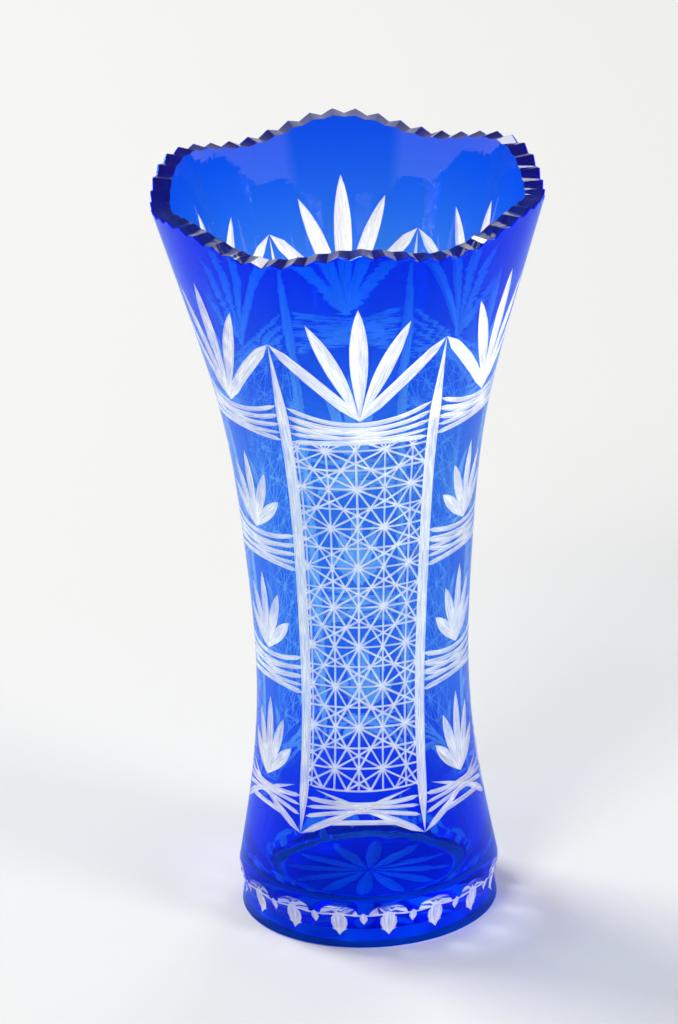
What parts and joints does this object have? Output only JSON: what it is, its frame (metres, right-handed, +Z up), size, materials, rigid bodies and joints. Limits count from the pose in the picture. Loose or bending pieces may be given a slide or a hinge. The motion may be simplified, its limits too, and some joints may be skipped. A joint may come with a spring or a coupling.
{
  "type": "cut crystal vase",
  "caption": "Tall flared vase of clear crystal cased in cobalt blue, cut through in stars, fans, swags and upright columns, with a toothed scalloped rim.",
  "frame": {"origin": "centre of the foot on the surface it stands on", "axes": "+Z up along the vase's axis, a star-cut panel faces -Y"},
  "size_m": [0.1502, 0.154, 0.3],
  "materials": {
    "clear_crystal": "polished lead crystal, clear",
    "cobalt_casing": "polished cobalt blue casing"
  },
  "bodies": {
    "root": {"crystal_body": "clear_crystal", "blue_collar": "cobalt_casing", "blue_corner_chips_1": "cobalt_casing", "blue_corner_chips_2": "cobalt_casing", "blue_corner_chips_3": "cobalt_casing", "blue_corner_chips_4": "cobalt_casing", "blue_corner_chips_5": "cobalt_casing", "blue_corner_chips_6": "cobalt_casing", "blue_star_panel_1": "cobalt_casing", "blue_star_panel_2": "cobalt_casing", "blue_star_panel_3": "cobalt_casing", "blue_fan_field_1_1": "cobalt_casing", "blue_fan_field_1_2": "cobalt_casing", "blue_fan_field_1_3": "cobalt_casing", "blue_fan_field_2_1": "cobalt_casing", "blue_fan_field_2_2": "cobalt_casing", "blue_fan_field_2_3": "cobalt_casing", "blue_fan_field_3_1": "cobalt_casing", "blue_fan_field_3_2": "cobalt_casing", "blue_fan_field_3_3": "cobalt_casing", "blue_foot": "cobalt_casing", "blue_base_sectors": "cobalt_casing"}
  },
  "joints": []
}
